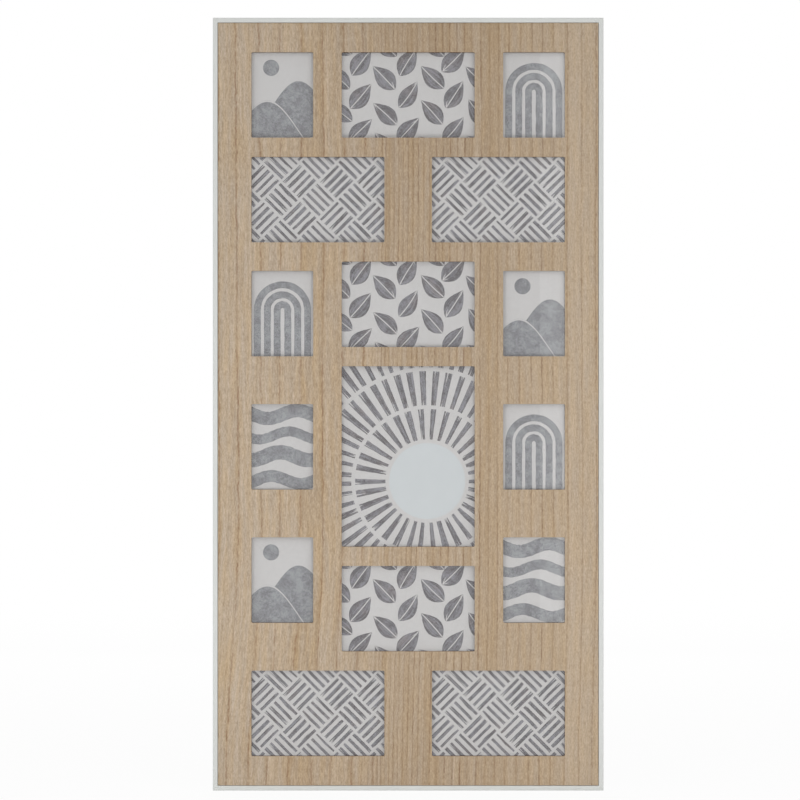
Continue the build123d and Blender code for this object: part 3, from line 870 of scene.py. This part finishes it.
def pan_head_screw(x, z, seat, radius, height, shank_radius):
    """A screw as rings about its axis, its radius and height given step by step down the profile.

    The top is a dome, height * (1 - 0.5 (r / radius)^2.6). The recess lowers it inside a cross,
    by a depth that falls to nothing over the slopes at the sides and ends of its arms.
    """
    sides = 48
    turn = np.linspace(0, 2 * np.pi, sides, endpoint=False)
    top = np.linspace(0.02, 1, 22)
    rings = np.concatenate([top * radius, [radius, shank_radius, shank_radius, screw_point]])
    dome = seat + height * (1 - 0.5 * top**2.6)
    level = np.concatenate([dome, [seat, seat, screw_tip + shank_radius, screw_tip]])
    across = rings[:, None] * np.cos(turn)
    upwards = rings[:, None] * np.sin(turn)
    arm = np.minimum(np.abs(across), np.abs(upwards))
    reach = np.maximum(np.abs(across), np.abs(upwards))
    side_share = np.clip((recess_half_width - arm) / recess_side_slope, 0, 1)
    end_share = np.clip((recess_reach - reach) / recess_end_slope, 0, 1)
    cut = side_share * end_share
    cut[len(top):] = 0
    y = level[:, None] - recess_depth * cut
    return tube(np.stack([x + across, y, z + upwards], -1))


def screw_set(name, replaced, places, seat, radius, height, shank_radius):
    """The screws of one kind as one piece, at places given by X and Z."""
    groups, all_faces, total = [], [], 0
    for x, z in places:
        points, faces = pan_head_screw(x, z, seat, radius, height, shank_radius)
        groups.append(points)
        all_faces += [[corner + total for corner in f] for f in faces]
        total += len(points)
    points = np.concatenate(groups)
    piece(name, points, all_faces, zinc, "frame", [replaced], 40)


button_places = [
    (joint["pos_m"][0], joint["pos_m"][2])
    for name, joint in joint_of.items() if name.startswith("turn_button_")
]
screw_set(
    "turn_button_screw_heads", "turn_button_screws", button_places,
    seat=5.3 * mm, radius=2.9 * mm, height=1.6 * mm, shank_radius=1.5 * mm,
)
strap_places = []
for side in ("left", "right"):
    low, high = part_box(f"hanger_strap_{side}")
    ring_axis_height = joint_of[f"hanger_ring_{side}"]["pos_m"][2]
    strap_places.append(((low.x + high.x) / 2, ring_axis_height - strap_screw_drop))
screw_set(
    "hanger_screw_heads", "hanger_screws", strap_places,
    seat=5.6 * mm, radius=3.1 * mm, height=1.9 * mm, shank_radius=1.6 * mm,
)

# Ring hangers
# A zinc-plated strip folded round the straight bar of a D-shaped wire ring, screwed to the ledge.
# The ring is bent from one length of wire, its ends meeting inside the fold.
wire_radius, ring_half_width, ring_height, ring_lean = 0.9 * mm, 5.4 * mm, 9.4 * mm, 4.45
ring_corner_radius, ring_bow_radius = 0.8 * mm, 0.999 * ring_half_width


def wire_ring(axis):
    """A round section carried along a D: P + r (cos t * normal + sin t * depth), then leaned."""
    corners = [
        (-ring_half_width, 0),
        (ring_half_width, 0),
        (ring_half_width, ring_height),
        (-ring_half_width, ring_height),
    ]
    line = rounded(corners, [ring_corner_radius] * 2 + [ring_bow_radius] * 2, steps=20)
    step = np.roll(line, -1, 0) - np.roll(line, 1, 0)
    normal = np.stack([step[:, 1], -step[:, 0]], -1) / np.linalg.norm(step, axis=1)[:, None]
    t = np.linspace(0, 2 * np.pi, 20, endpoint=False)
    plan = line[:, None] + wire_radius * np.cos(t)[None, :, None] * normal[:, None]
    depth = np.broadcast_to(wire_radius * np.sin(t), plan.shape[:2])
    lean = np.radians(ring_lean)
    y = depth * np.cos(lean) - plan[..., 1] * np.sin(lean)
    z = plan[..., 1] * np.cos(lean) + depth * np.sin(lean)
    points = np.stack([axis[0] + plan[..., 0], axis[1] + y, axis[2] + z], -1)
    return points.reshape(-1, 3), band_faces(*points.shape[:2], closed_rows=True)


for side in ("left", "right"):
    nodes[f"hanger_strap_{side}"].material_slots[0].material = zinc
    name = f"hanger_ring_{side}"
    points, faces = wire_ring(joint_of[name]["pos_m"])
    piece(f"{name}_wire", points, faces, zinc, name, [name])

# Studio
# A pale floor that fades into a white ground, a low white light from all round, and soft panels
# before and behind the frame. The narrow strip shows in the right windows as a bright band, and
# two panels don't show in glass.
world_light, floor_half_size, fade_start, fade_end, nearest_glow = 0.55, 9, 0.3, 3.0, 0.94
camera_place, lens, sensor_width = (-8.6 * mm, -3210 * mm, 410.85 * mm), 136.9, 36


def seen_share(tree):
    """1 on camera, glossy and transmission rays, which see the ground, and 0 on all others."""
    path = add(tree, "LightPath").outputs
    seen = math(tree, "MAXIMUM", path["Is Camera Ray"], path["Is Glossy Ray"])
    return math(tree, "MAXIMUM", seen, path["Is Transmission Ray"])


world = bpy.data.worlds.new("white_room")
world.use_nodes = True
bpy.context.scene.world = world
tree = world.node_tree
strength = rescaled(tree, seen_share(tree), 0, 1, world_light, 1.0)
feed(tree, tree.nodes["Background"], {"Strength": strength, "Color": (1, 1, 1, 1)})

floor_white, tree, shader = new_material("white_floor")
feed(tree, shader, {"Base Color": (0.9, 0.9, 0.9, 1), "Roughness": 0.9})
glow = add(tree, "Emission", {"Color": (1, 1, 1, 1), "Strength": 1.0})
place = add(tree, "TexCoord").outputs["Object"]
middle_gap = add(tree, "VectorMath", {0: place}, operation="LENGTH").outputs["Value"]
fading = rescaled(tree, middle_gap, fade_start, fade_end, nearest_glow, 1.0, smooth=True)
share = math(tree, "MULTIPLY", seen_share(tree), fading)
either = add(tree, "MixShader", {0: share, 1: shader.outputs[0], 2: glow.outputs[0]})
feed(tree, tree.nodes["Material Output"], {"Surface": either.outputs[0]})
floor_corners = np.array([(-1, -1, 0), (1, -1, 0), (1, 1, 0), (-1, 1, 0)]) * floor_half_size
floor_mesh = bpy.data.meshes.new("floor")
floor_mesh.from_pydata(floor_corners.tolist(), [], [(0, 1, 2, 3)])
floor_mesh.materials.append(floor_white)
floor = bpy.data.objects.new("floor", floor_mesh)
bpy.context.scene.collection.objects.link(floor)

for name, place, size, power, in_glass in (
    ("right_strip", (0.2197, -1.5, 0.6), (0.024, 1.5), 0.055, True),
    ("right_panel", (0.7817, -1.5, 0.6), (1.1, 1.5), 3.5, True),
    ("left_panel", (-1.05, -1.5, 0.6), (1.1, 1.5), 4.0, True),
    ("high_panel", (0.0, -1.5, 1.6), (1.6, 0.4), 2.65, False),
    ("low_panel", (0.0, -0.9, 0.1), (1.2, 0.18), 2.4, False),
    ("back_panel", (0.0, 1.8, 0.9), (1.4, 1.4), 8.0, True),
):
    lamp = bpy.data.lights.new(name, "AREA")
    lamp.shape = "RECTANGLE"
    lamp.size, lamp.size_y = size
    lamp.energy = power
    stand = bpy.data.objects.new(name, lamp)
    stand.location = place
    stand.rotation_euler = (np.pi / 2 if place[1] < 0 else -np.pi / 2, 0, 0)
    stand.visible_camera = False
    stand.visible_glossy = stand.visible_transmission = in_glass
    bpy.context.scene.collection.objects.link(stand)

view = bpy.data.cameras.new("camera")
view.lens, view.sensor_width = lens, sensor_width
camera = bpy.data.objects.new("camera", view)
camera.location = camera_place
camera.rotation_euler = (np.pi / 2, 0, 0)
bpy.context.scene.collection.objects.link(camera)
bpy.context.scene.camera = camera
bpy.context.scene.view_settings.view_transform = "Standard"
